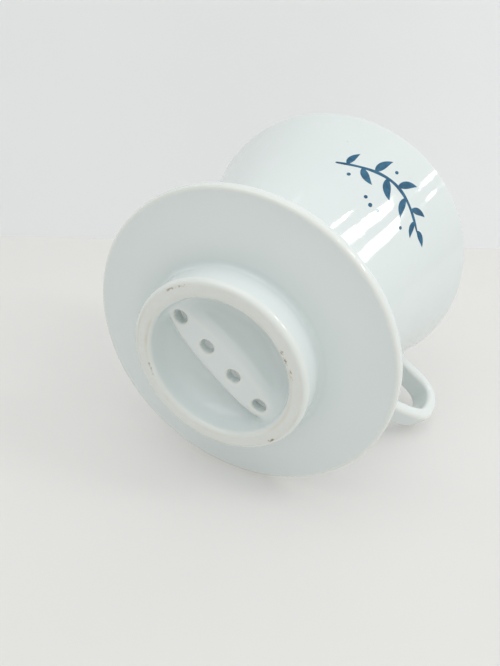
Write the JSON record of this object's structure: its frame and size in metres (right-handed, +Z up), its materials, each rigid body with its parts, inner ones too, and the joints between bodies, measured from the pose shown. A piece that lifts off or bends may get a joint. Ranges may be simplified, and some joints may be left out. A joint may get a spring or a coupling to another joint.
{
  "type": "pour over dripper",
  "caption": "White glazed porcelain pour-over coffee dripper: round-rimmed wedge cone with drain holes, saucer flange, foot ring and strap handle.",
  "frame": {"origin": "middle of the whole footprint, handle included, on the plane that the foot ring stands on; the vessel's own axis is 12.0 mm along -X from it", "axes": "+Z up, from the foot ring to the rim, along the vessel's axis; +X towards the handle, and the row of drain holes runs along X; the decorated front faces -Y"},
  "size_m": [0.156, 0.132, 0.116],
  "materials": {
    "white_glaze": "gloss",
    "foot_glaze": "gloss, with a matt unglazed standing face"
  },
  "bodies": {
    "root": {"cone_body": "white_glaze", "saucer_flange": "white_glaze", "foot_ring": "foot_glaze", "strap_handle": "white_glaze"}
  },
  "joints": []
}
